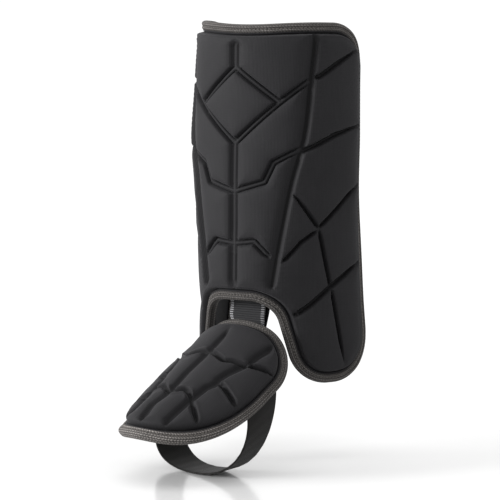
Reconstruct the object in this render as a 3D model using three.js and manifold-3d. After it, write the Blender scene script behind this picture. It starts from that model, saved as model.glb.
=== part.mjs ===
// Batter's leg guard: a pressed shin pad wrapped round the shin, a domed foot pad over the instep,
// a woven binding round each, a short webbing link between them and an elastic strap under the sole.
// Millimetres, +Z up, the front towards -Y; +X is to the right of someone who looks at the front.
// The origin is on the shin pad's inner face, on its centre line, where the guard sits on the shin.

import * as THREE from 'three';
import { mergeVertices } from 'three/addons/utils/BufferGeometryUtils.js';
import Module from 'manifold-3d';

const wasm = await Module();
wasm.setup();

// Driving dimensions
const SEAT_GAP = 0.3;
const TAPE_GAP = 0.7;
const PILLOW_HEIGHT = 11;
const GROOVE_HEIGHT = 7;
const FLANGE_HEIGHT = 4;
const GROOVE_TOP_HALF = 2.8;
const GROOVE_FLOOR_HALF = 1.6;
const BINDING_WIDTH = { shin: 8, foot: 10 };
const BINDING_TAPE = 1.2;
const PILLOW_SETBACK = 2.5;
const SHIN_CELL = { across: 10, along: 38, edge: 10, groove: 20 };
const FOOT_CELL = { across: 8, along: 24, edge: 9, groove: 14 };
const BOWL_DEPTH = 0.0004;
const CUT_CLEARANCE = 5;
const TRIM_DEPTH = 60;
const RIM_SHIFT = 0.06;
const CORNER_STEPS = 16;
const SHARPEST_MITER = 0.5;
const LANES = [-0.5, -0.25, 0, 0.25, 0.5];

// Shin pad: flat-pattern heights against the half width of its front panel, along the wrapped surface
const FRONT_PANEL = [
  { z: -95, half: 31 },
  { z: -60, half: 36.5 },
  { z: -25, half: 42.5 },
  { z: 20, half: 51 },
  { z: 60, half: 61 },
  { z: 110, half: 65 },
  { z: 165, half: 69.5 },
];

// Shin pad: slope in degrees where the front panel ends, the arc length and slope where the flap ends,
// and how much further the flap's last stretch curls in
const WRAP = [
  { z: -120, frontSlope: 19.5, flapEnd: 135, endSlope: 88, curl: 8 },
  { z: 20, frontSlope: 29, flapEnd: 126, endSlope: 91, curl: 18 },
  { z: 165, frontSlope: 51, flapEnd: 131.5, endSlope: 94.5, curl: 26 },
];
const FLAP_FOLD = 17;
const FOLD_HALF = 7;
const CURL_RUN = 24;
const SHIN_LEAN = 0.015;

// Shin pad outline, right half, anticlockwise from the ankle arch: flat corners and their radii,
// then the dipped top edge and how much higher the left end of it stands
const SHIN_CORNERS = [
  { s: 33.8, z: -91, radius: 27 },
  { s: 57.5, z: -167.5, radius: 38 },
  { s: 134.5, z: -167.5, radius: 41 },
  { s: 126, z: 20, radius: 900 },
  { s: 131.5, z: 165.5, radius: 40 },
];
const SHIN_TOP = [
  { s: 8, z: 161, radius: 315 },
  { s: -74, z: 171.3, radius: 200 },
];
const SHIN_LEFT_RISE = 6;

// Shin grooves as flat points [s, z]: those that cross the centre line give their right half from it
const SHIN_CENTRE_GROOVES = [
  { name: 'diamond top', path: [[0, 123], [40.2, 91.2]] },
  { name: 'diamond bottom', path: [[0, 54], [41, 90.5], [63, 109]] },
  { name: 'chevron', path: [[0, 10], [28.5, 18.5], [36.5, 36], [58, 48]] },
  { name: 'trapezoid', path: [[0, -38], [19.5, -35.5], [35.5, -52]] },
];
const SHIN_SIDE_GROOVES = [
  { name: 'upper flap', path: [[70, 112], [88, 124], [114, 140]] },
  { name: 'middle flap', path: [[60, 47], [87.5, 61.5], [118, 72]] },
  { name: 'flap vee', path: [[50, 9.5], [73, -23.5], [113, 16]] },
  { name: 'flap inner leg', path: [[72, -25.2], [57.5, -36], [41.5, -54.5]] },
  { name: 'flap stem', path: [[73.4, -24.6], [84.9, -76.9]] },
  { name: 'lower flap', path: [[118, -54.5], [85.5, -77.5], [67, -93], [50.5, -104.5]] },
  { name: 'flap tail', path: [[86.1, -80.2], [100, -150]] },
];
const SHIN_SPINE = [
  { name: 'upper spine', path: [[0, 144], [0, 124.4]] },
  { name: 'lower spine', path: [[0, 52.6], [0, -81]] },
];
const FOLD_GROOVE = { top: 157, bottom: -81, widening: 1.3, steps: 8 };

// Foot pad: a centre line in one upright plane, arched across; u runs from the ankle to the toe
const FOOT = {
  start: new THREE.Vector3(4, -6.5, -118),
  heading: 8,
  ankleSlope: 36,
  toeSlope: 28,
  length: 155,
};
const FOOT_ARCH = [
  { u: 0, radius: 65 },
  { u: 60, radius: 77 },
  { u: 110, radius: 67 },
  { u: 155, radius: 45 },
];

// Foot pad outline in the flat: a half ellipse at the toe and two round corners at the ankle
const FOOT_OUTLINE = { ankleU: -9, toeU: 155.5, broadU: 57, half: 71, cornerRadius: 48 };

// Foot grooves as flat points [v, u]: those that cross the centre line give their right half from it
const FOOT_CENTRE_GROOVES = [
  { name: 'instep wing', path: [[0, 42], [19, 47], [36, 44]] },
  { name: 'toe chevron', path: [[0, 101], [12.5, 94.5], [23, 101]] },
];
const FOOT_SIDE_GROOVES = [
  { name: 'ankle ray', path: [[36.6, 42.8], [44, 17]] },
  { name: 'side ray', path: [[37.4, 43.4], [44, 41.5], [62, 33.5]] },
  { name: 'side rail', path: [[35.4, 45.3], [30.5, 69.5], [25.5, 83], [23.3, 99.8]] },
  { name: 'middle ray', path: [[31.4, 70.6], [58, 83]] },
  { name: 'toe ray', path: [[22.9, 102.3], [21, 138]] },
  { name: 'outer toe ray', path: [[24.2, 101.6], [43, 119]] },
];
const FOOT_SPINE = [{ name: 'foot spine', path: [[0, 7], [0, 148]] }];

// Foot strap: a loop of elastic from inside one rim, under the sole, to inside the other rim
const STRAP = {
  thickness: 1.6,
  widthAtRim: 43,
  widthAtSole: 33,
  rimU: 56,
  tuckV: 53,
  leaveV: 68,
  hang: 0.8,
  soleForward: 46.5,
  soleZ: -242,
  rimHandle: 10,
  soleHandle: 70,
  steps: 11,
};

// Link between the pads: rows down the middle of the webbing, with the backing's distance behind it
const LINK = { width: 40, thickness: 1.5, backing: 1.2 };
const LINK_ON_SHIN = [
  { z: -32 },
  { z: -44 },
];
const LINK_FREE = [
  { y: 4, z: -58, behind: 1.5 },
  { y: 8.5, z: -72, behind: 3.5 },
  { y: 12, z: -86, behind: 5 },
  { y: 13, z: -97, behind: 5 },
  { y: 11.5, z: -107, behind: 4 },
];
const LINK_ON_FOOT = [
  { u: -9, under: 3.5, behind: 2 },
  { u: 3, under: 0.8, behind: 0.5 },
  { u: 12, under: 0, behind: 0 },
  { u: 21, under: 0, behind: 0 },
];

const UP = new THREE.Vector3(0, 0, 1);

// A smooth curve through table rows, level beyond the first and last of them
function smoothColumn(rows, key, column) {
  const slopes = rows.map((row, i) => {
    const before = rows[Math.max(i - 1, 0)];
    const after = rows[Math.min(i + 1, rows.length - 1)];
    return (after[column] - before[column]) / (after[key] - before[key]);
  });
  return (x) => {
    const last = rows.length - 1;
    if (x <= rows[0][key]) return rows[0][column];
    if (x >= rows[last][key]) return rows[last][column];
    const i = rows.findIndex((row) => row[key] > x) - 1;
    const span = rows[i + 1][key] - rows[i][key];
    const k = (x - rows[i][key]) / span;
    const rise = rows[i + 1][column] - rows[i][column];
    const bendIn = k * (1 - k) * (1 - k) * (slopes[i] * span - rise);
    const bendOut = k * k * (1 - k) * (rise - slopes[i + 1] * span);
    return rows[i][column] + rise * k + bendIn + bendOut;
  };
}

const frontHalf = smoothColumn(FRONT_PANEL, 'z', 'half');
const frontSlope = smoothColumn(WRAP, 'z', 'frontSlope');
const flapEnd = smoothColumn(WRAP, 'z', 'flapEnd');
const endSlope = smoothColumn(WRAP, 'z', 'endSlope');
const edgeCurl = smoothColumn(WRAP, 'z', 'curl');
const archRadius = smoothColumn(FOOT_ARCH, 'u', 'radius');

// The shin surface: flat point (s, z) at height t above the inner face, wrapped in four arcs a side
function shinPoint(s, z, t) {
  const half = frontHalf(z);
  const atFold = THREE.MathUtils.degToRad(frontSlope(z));
  const pastFold = atFold + THREE.MathUtils.degToRad(FLAP_FOLD);
  const atEnd = THREE.MathUtils.degToRad(endSlope(z));
  const flapBend = (atEnd - pastFold) / (flapEnd(z) - half);
  const curlBend = flapBend + THREE.MathUtils.degToRad(edgeCurl(z)) / CURL_RUN;
  const frontBend = atFold / half;
  const foldStart = half - FOLD_HALF;
  const foldEnd = half + FOLD_HALF;
  const curlStart = flapEnd(z) - CURL_RUN;
  const slopeIn = frontBend * foldStart;
  const slopeOut = pastFold + flapBend * FOLD_HALF;
  const arcs = [
    { from: 0, until: foldStart, slope: 0, bend: frontBend },
    { from: foldStart, until: foldEnd, slope: slopeIn, bend: (slopeOut - slopeIn) / (2 * FOLD_HALF) },
    { from: foldEnd, until: curlStart, slope: slopeOut, bend: flapBend },
    { from: curlStart, until: Infinity, slope: pastFold + flapBend * (curlStart - half), bend: curlBend },
  ];
  const reach = Math.abs(s);
  let x = 0;
  let y = SHIN_LEAN * z;
  let slope = 0;
  arcs.forEach((arc, i) => {
    const run = Math.min(reach, arc.until) - arc.from;
    if (run <= 0 && i > 0) return;
    slope = arc.slope + arc.bend * run;
    x += (Math.sin(slope) - Math.sin(arc.slope)) / arc.bend;
    y += (Math.cos(arc.slope) - Math.cos(slope)) / arc.bend;
  });
  const side = s < 0 ? -1 : 1;
  return new THREE.Vector3(side * (x + t * Math.sin(slope)), y - t * Math.cos(slope), z);
}

const HEADING = THREE.MathUtils.degToRad(FOOT.heading);
const FOOT_AHEAD = new THREE.Vector3(-Math.sin(HEADING), -Math.cos(HEADING), 0);
const FOOT_RIGHT = new THREE.Vector3(Math.cos(HEADING), -Math.sin(HEADING), 0);

// The foot surface: flat point (u, v) at height t above the inner face of the dome
function footPoint(u, v, t) {
  const start = THREE.MathUtils.degToRad(FOOT.ankleSlope);
  const bend = (THREE.MathUtils.degToRad(FOOT.toeSlope) - start) / FOOT.length;
  const slope = start + bend * u;
  const ahead = (Math.sin(slope) - Math.sin(start)) / bend;
  const drop = (Math.cos(start) - Math.cos(slope)) / bend;
  const radius = archRadius(u);
  const turn = v / radius;
  const out = FOOT_AHEAD.clone().multiplyScalar(Math.sin(slope)).addScaledVector(UP, Math.cos(slope));
  return FOOT.start.clone()
    .addScaledVector(FOOT_AHEAD, ahead)
    .addScaledVector(UP, -drop)
    .addScaledVector(FOOT_RIGHT, (radius + t) * Math.sin(turn))
    .addScaledVector(out, (radius + t) * Math.cos(turn) - radius);
}

// Flat patterns lie in x and y with height t along z; the foot's toe points down the pattern
const shinFromFlat = (p) => shinPoint(p.x, p.y, p.z);
const footFromFlat = (p) => footPoint(-p.y, p.x, p.z);

// A closed outline as an even number of points about one step apart, begun a share of a step along it
function evenlySpaced(path, step, share) {
  const count = 2 * Math.round(path.getLength() / step / 2);
  return Array.from({ length: count }, (_, i) => path.getPointAt((i + share) / count));
}

// The arc that rounds one corner between its neighbours
function cornerArc(before, corner, after) {
  const here = new THREE.Vector2(corner.s, corner.z);
  const back = new THREE.Vector2(before.s, before.z).sub(here).normalize();
  const on = new THREE.Vector2(after.s, after.z).sub(here).normalize();
  const halfAngle = Math.acos(back.dot(on)) / 2;
  const middle = back.clone().add(on).normalize();
  const centre = here.clone().addScaledVector(middle, corner.radius / Math.sin(halfAngle));
  const first = here.clone().addScaledVector(back, corner.radius / Math.tan(halfAngle)).sub(centre);
  const last = here.clone().addScaledVector(on, corner.radius / Math.tan(halfAngle)).sub(centre);
  const clockwise = back.cross(on) > 0;
  return new THREE.ArcCurve(centre.x, centre.y, corner.radius, first.angle(), last.angle(), clockwise);
}

function shinPath() {
  const mirrored = SHIN_CORNERS.map((corner) => ({ ...corner, s: -corner.s })).reverse();
  mirrored[0].z += SHIN_LEFT_RISE;
  const corners = [...SHIN_CORNERS, ...SHIN_TOP, ...mirrored];
  const start = new THREE.Vector2(0, SHIN_CORNERS[0].z);
  const arcs = corners.map((corner, i) => (
    cornerArc(corners.at(i - 1), corner, corners[(i + 1) % corners.length])));
  return new THREE.Path([start, ...arcs.flatMap((arc) => arc.getPoints(CORNER_STEPS)), start]);
}

function footPath() {
  const { ankleU, toeU, broadU, half, cornerRadius } = FOOT_OUTLINE;
  const shape = new THREE.Path();
  const cornerU = ankleU + cornerRadius;
  const flatHalf = half - cornerRadius;
  shape.moveTo(0, -ankleU);
  shape.lineTo(-flatHalf, -ankleU);
  shape.absarc(-flatHalf, -cornerU, cornerRadius, Math.PI / 2, Math.PI, false);
  shape.lineTo(-half, -broadU);
  shape.absellipse(0, -broadU, half, toeU - broadU, Math.PI, 2 * Math.PI, false);
  shape.lineTo(half, -cornerU);
  shape.absarc(flatHalf, -cornerU, cornerRadius, 0, Math.PI / 2, false);
  shape.lineTo(0, -ankleU);
  return shape;
}

// The outline moved inwards, which is to the left of its anticlockwise run
function inset(outline, distance) {
  return outline.map((point, i) => {
    const before = outline[(i + outline.length - 1) % outline.length];
    const after = outline[(i + 1) % outline.length];
    const run = after.clone().sub(before).normalize();
    return point.clone().add(new THREE.Vector2(-run.y, run.x).multiplyScalar(distance));
  });
}

// A shallow bowl laid under the flat pattern: no two of its cells lie in one plane, so cuts keep them apart
const bowl = (x, y) => BOWL_DEPTH * (x * x + y * y);

function bowled(geometry) {
  const { position } = geometry.attributes;
  for (let i = 0; i < position.count; i += 1) {
    position.setZ(i, position.getZ(i) + bowl(position.getX(i), position.getY(i)));
  }
  return geometry;
}

// Faceted bodies in the flat: a closed mesh becomes a body that can be joined and cut
function bodyOf(geometry) {
  const bare = geometry.clone();
  bare.deleteAttribute('normal');
  bare.deleteAttribute('uv');
  const merged = mergeVertices(bare, 1e-4);
  return new wasm.Manifold(new wasm.Mesh({
    numProp: 3,
    vertProperties: new Float32Array(merged.attributes.position.array),
    triVerts: new Uint32Array(merged.index.array),
  }));
}

// A body's mesh with every vertex carried from the flat on to its curved surface
function curvedGeometry(body, fromFlat) {
  const { vertProperties, triVerts, numProp } = body.getMesh();
  const positions = [];
  for (let i = 0; i < vertProperties.length; i += numProp) {
    const flat = new THREE.Vector3().fromArray(vertProperties, i);
    flat.z -= bowl(flat.x, flat.y);
    positions.push(...fromFlat(flat).toArray());
  }
  const geometry = new THREE.BufferGeometry();
  geometry.setAttribute('position', new THREE.Float32BufferAttribute(positions, 3));
  geometry.setIndex([...triVerts]);
  geometry.computeVertexNormals();
  return geometry;
}

// Rings of equal length joined into a closed skin: round the rings, and either capped or run into a loop
function skin(rings, looped) {
  const size = rings[0].length;
  const index = [];
  const joins = looped ? rings.length : rings.length - 1;
  for (let i = 0; i < joins; i += 1) {
    for (let k = 0; k < size; k += 1) {
      const a = i * size + k;
      const b = i * size + ((k + 1) % size);
      const c = ((i + 1) % rings.length) * size + k;
      const d = ((i + 1) % rings.length) * size + ((k + 1) % size);
      index.push(a, b, d, a, d, c);
    }
  }
  if (!looped) {
    const end = (rings.length - 1) * size;
    for (let k = 1; k < size / 2; k += 1) {
      const far = size - k;
      index.push(k - 1, far % size, k, k, far % size, far - 1);
      index.push(end + k - 1, end + k, end + (far % size), end + k, end + far - 1, end + (far % size));
    }
  }
  const geometry = new THREE.BufferGeometry();
  const positions = rings.flatMap((ring) => ring.flatMap((point) => point.toArray()));
  geometry.setAttribute('position', new THREE.Float32BufferAttribute(positions, 3));
  geometry.setIndex(index);
  geometry.computeVertexNormals();
  return geometry;
}

// A groove cutter: a trapezoid section swept along a flat path, wider at the top
function grooveBody(path, cell, widening) {
  const corners = path.map(([x, y]) => new THREE.Vector2(x, y));
  const stations = corners.slice(1).flatMap((corner, i) => {
    const count = Math.ceil(corner.distanceTo(corners[i]) / cell.groove);
    return Array.from({ length: count }, (_, k) => corners[i].clone().lerp(corner, k / count));
  });
  stations.push(corners[corners.length - 1]);
  const rings = stations.map((station, i) => {
    const back = stations[Math.max(i - 1, 0)];
    const on = stations[Math.min(i + 1, stations.length - 1)];
    const run = on.clone().sub(back).normalize();
    const first = station.clone().sub(i > 0 ? back : on).normalize();
    const miter = Math.max(Math.abs(run.dot(first)), SHARPEST_MITER);
    const side = new THREE.Vector2(-run.y, run.x).multiplyScalar(widening / miter);
    const corner = (half, t) => new THREE.Vector3(station.x + side.x * half, station.y + side.y * half, t);
    const above = 2 * PILLOW_HEIGHT - GROOVE_HEIGHT;
    const flare = 2 * GROOVE_TOP_HALF - GROOVE_FLOOR_HALF;
    return [
      corner(-GROOVE_FLOOR_HALF, GROOVE_HEIGHT),
      corner(GROOVE_FLOOR_HALF, GROOVE_HEIGHT),
      corner(flare, above),
      corner(-flare, above),
    ];
  });
  return bodyOf(bowled(skin(rings, false)));
}

function joined(bodies) {
  return bodies.slice(1).reduce((whole, body) => whole.add(body), bodies[0]);
}

// A section of [depth inside the outline, height] points swept round the outline
function sweptRound(outline, section, place) {
  const lanes = section.map(([depth, t]) => (
    inset(outline, depth).map((point) => place(new THREE.Vector3(point.x, point.y, t)))));
  return skin(outline.map((_, i) => lanes.map((lane) => lane[i])), true);
}

// A pressed pad: a gridded slab trimmed to the outline, thinned to a flange at its rim and grooved
function pressedPad(path, bindingWidth, grooves, cell, fromFlat) {
  const pillowInset = bindingWidth + PILLOW_SETBACK;
  const outline = evenlySpaced(path, cell.edge, 0);
  const box = new THREE.Box2().setFromPoints(outline);
  const size = box.getSize(new THREE.Vector2());
  const middle = box.getCenter(new THREE.Vector2());
  const across = Math.ceil(size.x / cell.across);
  const along = Math.ceil(size.y / cell.along);
  const slab = new THREE.BoxGeometry(size.x, size.y, PILLOW_HEIGHT, across, along, 1);
  slab.translate(middle.x, middle.y, PILLOW_HEIGHT / 2);
  const edge = new THREE.Shape(inset(outline, BINDING_TAPE + TAPE_GAP));
  const trim = new THREE.ExtrudeGeometry(edge, { depth: TRIM_DEPTH, bevelEnabled: false, steps: 1 });
  const rim = sweptRound(evenlySpaced(path, cell.edge, RIM_SHIFT), [
    [-CUT_CLEARANCE, FLANGE_HEIGHT],
    [pillowInset, FLANGE_HEIGHT],
    [pillowInset, PILLOW_HEIGHT + CUT_CLEARANCE],
    [-CUT_CLEARANCE, PILLOW_HEIGHT + CUT_CLEARANCE],
  ], (point) => point);
  const panel = bodyOf(bowled(slab))
    .intersect(bodyOf(trim.translate(0, 0, -CUT_CLEARANCE)))
    .subtract(bodyOf(bowled(rim)))
    .subtract(joined(grooves));
  return curvedGeometry(panel, fromFlat);
}

// A binding: tape folded over the flange, swept round the outline
function foldedBinding(path, width, cell, fromFlat) {
  const front = FLANGE_HEIGHT + TAPE_GAP;
  const back = -TAPE_GAP;
  return sweptRound(evenlySpaced(path, cell.edge, 0), [
    [0, back - BINDING_TAPE],
    [width, back - BINDING_TAPE],
    [width, back],
    [BINDING_TAPE, back],
    [BINDING_TAPE, front],
    [width, front],
    [width, front + BINDING_TAPE],
    [0, front + BINDING_TAPE],
  ], fromFlat);
}

// A band: a grid of middle points thickened equally to both sides
function band(rows, thickness) {
  const last = rows.length - 1;
  const across = rows[0].length - 1;
  const faces = rows.map((row, i) => row.map((point, j) => {
    const along = rows[Math.min(i + 1, last)][j].clone().sub(rows[Math.max(i - 1, 0)][j]);
    const over = row[Math.min(j + 1, across)].clone().sub(row[Math.max(j - 1, 0)]);
    const out = over.cross(along).normalize().multiplyScalar(thickness / 2);
    return [point.clone().add(out), point.clone().sub(out)];
  }));
  return skin(faces.map((row) => [
    ...row.map(([upper]) => upper),
    ...row.map(([, lower]) => lower).reverse(),
  ]), false);
}

// Groove paths on both sides of the centre line
function bothSides(centre, sides, spine) {
  const mirror = (path) => path.map(([across, along]) => [-across, along]);
  return [
    ...centre.map(({ path }) => [...mirror(path.slice(1)).reverse(), ...path]),
    ...sides.flatMap(({ path }) => [path, mirror(path)]),
    ...spine.map(({ path }) => path),
  ];
}

function shinGrooves() {
  const paths = bothSides(SHIN_CENTRE_GROOVES, SHIN_SIDE_GROOVES, SHIN_SPINE);
  const { top, bottom, steps, widening } = FOLD_GROOVE;
  const heights = Array.from({ length: steps + 1 }, (_, i) => THREE.MathUtils.lerp(bottom, top, i / steps));
  const folds = [-1, 1].map((side) => heights.map((z) => [side * frontHalf(z), z]));
  return [
    ...paths.map((path) => grooveBody(path, SHIN_CELL, 1)),
    ...folds.map((path) => grooveBody(path, SHIN_CELL, widening)),
  ];
}

function footGrooves() {
  const paths = bothSides(FOOT_CENTRE_GROOVES, FOOT_SIDE_GROOVES, FOOT_SPINE);
  return paths.map((path) => grooveBody(path.map(([v, u]) => [v, -u]), FOOT_CELL, 1));
}

// The strap's middle surface, from inside the right rim round under the sole to inside the left rim
function strapRows() {
  const underBinding = -(TAPE_GAP + BINDING_TAPE + SEAT_GAP + STRAP.thickness / 2);
  const half = (side) => {
    const rows = [];
    const onDome = (lane, v) => footPoint(STRAP.rimU + lane * STRAP.widthAtRim, side * v, underBinding);
    for (const v of [STRAP.tuckV, (STRAP.tuckV + STRAP.leaveV) / 2]) {
      rows.push(LANES.map((lane) => onDome(lane, v)));
    }
    const curves = LANES.map((lane) => {
      const rim = onDome(lane, STRAP.leaveV);
      const along = rim.clone().sub(onDome(lane, STRAP.leaveV - 1)).normalize();
      const down = along.lerp(UP.clone().negate(), STRAP.hang).normalize();
      const sole = new THREE.Vector3(FOOT.start.x, FOOT.start.y, STRAP.soleZ + STRAP.thickness / 2)
        .addScaledVector(FOOT_AHEAD, STRAP.soleForward + lane * STRAP.widthAtSole);
      return new THREE.CubicBezierCurve3(
        rim,
        rim.clone().addScaledVector(down, STRAP.rimHandle),
        sole.clone().addScaledVector(FOOT_RIGHT, side * STRAP.soleHandle),
        sole,
      );
    });
    for (let i = 0; i <= STRAP.steps; i += 1) {
      rows.push(curves.map((curve) => curve.getPoint(i / STRAP.steps)));
    }
    return rows;
  };
  return [...half(1), ...half(-1).slice(0, -1).reverse()];
}

// A link strip's middle surface: on the shin's inner face, free across the gap, then under the foot's dome
function linkRows(behindSeat, behindShare) {
  const lanes = LANES.map((lane) => lane * LINK.width);
  const seat = SEAT_GAP + LINK.thickness / 2 + behindSeat;
  const underBinding = TAPE_GAP + BINDING_TAPE + seat;
  return [
    ...LINK_ON_SHIN.map((row) => lanes.map((s) => shinPoint(s, row.z, -seat))),
    ...LINK_FREE.map((row) => lanes.map((x) => (
      new THREE.Vector3(x, row.y + behindSeat + row.behind * behindShare, row.z)))),
    ...LINK_ON_FOOT.map((row) => lanes.map((v) => (
      footPoint(row.u, v, -underBinding - row.under - row.behind * behindShare)))),
  ];
}

function piece(name, geometry, color, roughness) {
  const mesh = new THREE.Mesh(geometry, new THREE.MeshStandardMaterial({ color, roughness, metalness: 0 }));
  mesh.name = name;
  return mesh;
}

const shinEdge = shinPath();
const footEdge = footPath();
const backingSeat = LINK.thickness / 2 + TAPE_GAP + LINK.backing / 2;
const shinPad = pressedPad(shinEdge, BINDING_WIDTH.shin, shinGrooves(), SHIN_CELL, shinFromFlat);
const shinBinding = foldedBinding(shinEdge, BINDING_WIDTH.shin, SHIN_CELL, shinFromFlat);
const footPad = pressedPad(footEdge, BINDING_WIDTH.foot, footGrooves(), FOOT_CELL, footFromFlat);
const footBinding = foldedBinding(footEdge, BINDING_WIDTH.foot, FOOT_CELL, footFromFlat);

const guard = new THREE.Group();
guard.add(
  piece('shin_pad', shinPad, 0x17171a, 0.8),
  piece('shin_binding', shinBinding, 0x3a3634, 0.75),
  piece('foot_pad', footPad, 0x17171a, 0.8),
  piece('foot_binding', footBinding, 0x3a3634, 0.75),
  piece('link_webbing', band(linkRows(0, 0), LINK.thickness), 0x232325, 0.7),
  piece('link_backing', band(linkRows(backingSeat, 1), LINK.backing), 0x141416, 0.8),
  piece('foot_strap', band(strapRows(), STRAP.thickness), 0x1c1b1a, 0.7),
);

export default guard;
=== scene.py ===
"""Batter's leg guard: pressed shin and foot pads, their woven bindings, the ankle link and the sole strap.

The pads are laid out as flat patterns in millimetres, as they are cut and pressed, and each flat point is
then carried on to the worn shape. Meshes, materials, lights and the camera are in metres.
"""

import logging
import math
from collections.abc import Mapping, Sequence
from dataclasses import dataclass, replace
from enum import Enum
from typing import NamedTuple, Protocol, Union

import bpy
import numpy as np
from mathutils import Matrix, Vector
from mathutils.geometry import delaunay_2d_cdt


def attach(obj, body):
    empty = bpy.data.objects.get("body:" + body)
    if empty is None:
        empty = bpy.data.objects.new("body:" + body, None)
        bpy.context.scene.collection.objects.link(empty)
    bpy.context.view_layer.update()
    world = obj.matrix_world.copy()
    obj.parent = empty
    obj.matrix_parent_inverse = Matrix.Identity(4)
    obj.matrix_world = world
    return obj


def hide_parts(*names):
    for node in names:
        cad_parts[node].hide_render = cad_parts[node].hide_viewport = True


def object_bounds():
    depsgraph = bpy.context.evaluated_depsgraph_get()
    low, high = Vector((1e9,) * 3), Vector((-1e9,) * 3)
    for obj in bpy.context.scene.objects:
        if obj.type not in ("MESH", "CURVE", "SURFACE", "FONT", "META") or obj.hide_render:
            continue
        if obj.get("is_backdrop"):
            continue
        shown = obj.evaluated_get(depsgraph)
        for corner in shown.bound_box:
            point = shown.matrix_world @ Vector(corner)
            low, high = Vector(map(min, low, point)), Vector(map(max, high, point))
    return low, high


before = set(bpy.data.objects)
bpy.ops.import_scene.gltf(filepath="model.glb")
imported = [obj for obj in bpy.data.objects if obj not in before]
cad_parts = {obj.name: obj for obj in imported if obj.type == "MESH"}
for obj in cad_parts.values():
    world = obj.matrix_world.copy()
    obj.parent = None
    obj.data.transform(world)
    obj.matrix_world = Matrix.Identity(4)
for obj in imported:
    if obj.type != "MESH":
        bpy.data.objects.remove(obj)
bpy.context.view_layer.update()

LOG = logging.getLogger("leg_guard")
MM = 0.001
TURN = 2 * math.pi
BODY = "root"

Array = np.ndarray
Colour = tuple[float, float, float]
FlatPath = tuple[tuple[float, float], ...]


class Slot(Enum):
    """Names of the material slots for the pad, tape, webbing, backing and elastic."""

    PAD = "pad_fabric"
    TAPE = "binding_tape"
    WEBBING = "webbing"
    BACKING = "backing"
    ELASTIC = "elastic"


class Layer(Enum):
    """Named coordinates and masks that the meshes carry for their finishes."""

    FLAT = "flat"
    # Painted shade mask: how far shade is painted into the base colour, along the pads' creases and rim
    # valleys and the tape's folds and seam.
    PRESS = "press"


# Shader maths


@dataclass(frozen=True)
class Signal:
    """An output socket of a material's node tree that Python operators turn into Math nodes."""

    board: "ShaderBoard"
    socket: bpy.types.NodeSocket

    def math(self, operation: str, *operands: "Operand") -> "Signal":
        """The result of a Math node with these inputs, in order."""
        return self.board.node("ShaderNodeMath", {"operation": operation}, dict(enumerate(operands)))

    def __add__(self, other: "Operand") -> "Signal":
        """This plus other."""
        return self.math("ADD", self, other)

    def __radd__(self, other: "Operand") -> "Signal":
        """Other plus this."""
        return self.math("ADD", other, self)

    def __sub__(self, other: "Operand") -> "Signal":
        """This minus other."""
        return self.math("SUBTRACT", self, other)

    def __rsub__(self, other: "Operand") -> "Signal":
        """Other minus this."""
        return self.math("SUBTRACT", other, self)

    def __mul__(self, other: "Operand") -> "Signal":
        """This times other."""
        return self.math("MULTIPLY", self, other)

    def __rmul__(self, other: "Operand") -> "Signal":
        """Other times this."""
        return self.math("MULTIPLY", other, self)

    def __abs__(self) -> "Signal":
        """The size of this without its sign."""
        return self.math("ABSOLUTE", self)

    def wave(self, pitch: float, shift: "Operand" = 0.0) -> "Signal":
        """A sine wave over this that repeats at each pitch, shifted by radians."""
        return self.math("SINE", self.math("MULTIPLY_ADD", self, TURN / pitch, shift))

    def between(self, low: float, high: float) -> "Signal":
        """A value from low to high, as this goes from 0 to 1."""
        return self * (high - low) + low

    def over(self, limit: float) -> "Signal":
        """One where this is above the limit, and zero elsewhere."""
        return self.math("GREATER_THAN", self, limit)


Operand = Union[Signal, float]
SocketValue = Union[Signal, float, Sequence[float]]


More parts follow.
